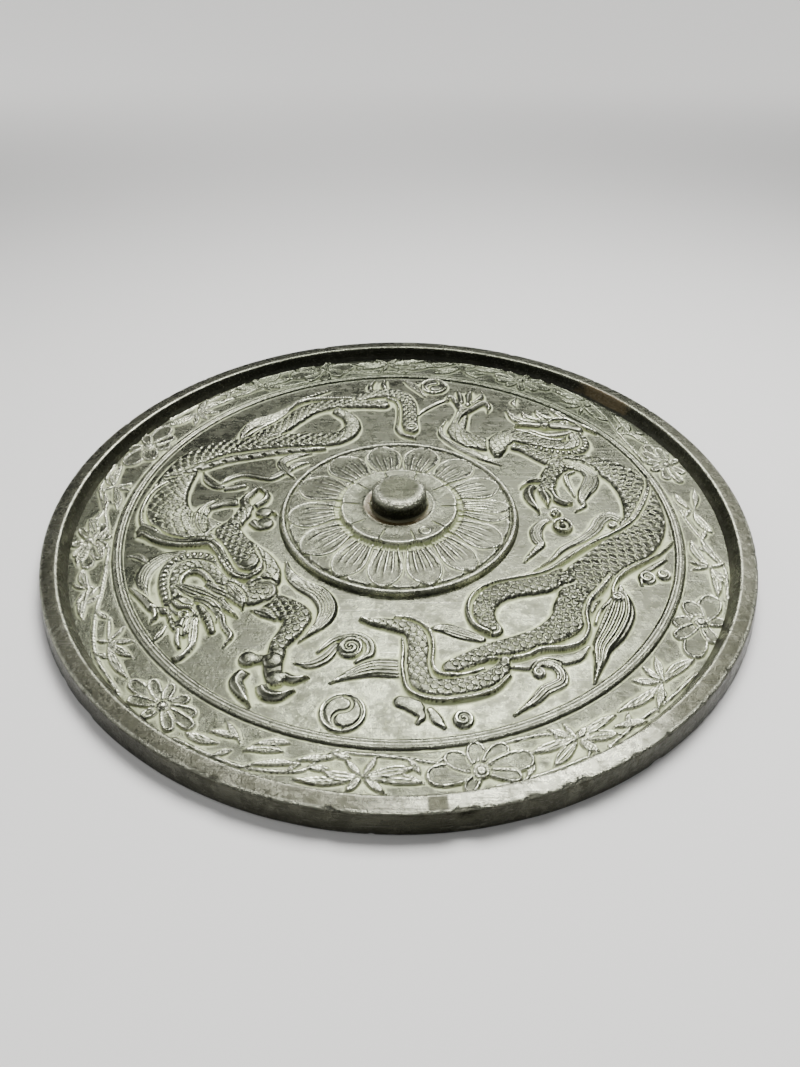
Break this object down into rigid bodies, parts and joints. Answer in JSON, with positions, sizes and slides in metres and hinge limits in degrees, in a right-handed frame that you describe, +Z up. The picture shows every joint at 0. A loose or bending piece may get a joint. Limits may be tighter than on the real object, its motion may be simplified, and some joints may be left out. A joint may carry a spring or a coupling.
{
  "type": "bronze mirror",
  "caption": "Large round cast bronze mirror lying face down, its back carved with two dragons circling a lotus and a flower border inside a raised rim, with a pierced drum knob.",
  "frame": {"origin": "centre of the flat underside, on the surface the mirror lies on", "axes": "+Z up out of the carved back along the knob; +Y towards the far edge as seen in the picture; +X to the right"},
  "size_m": [0.283, 0.283, 0.0161],
  "materials": {
    "aged_bronze": "tarnished grey-olive high-tin bronze, worn brighter on the rim"
  },
  "bodies": {
    "root": {"mirror": "aged_bronze"}
  },
  "joints": []
}
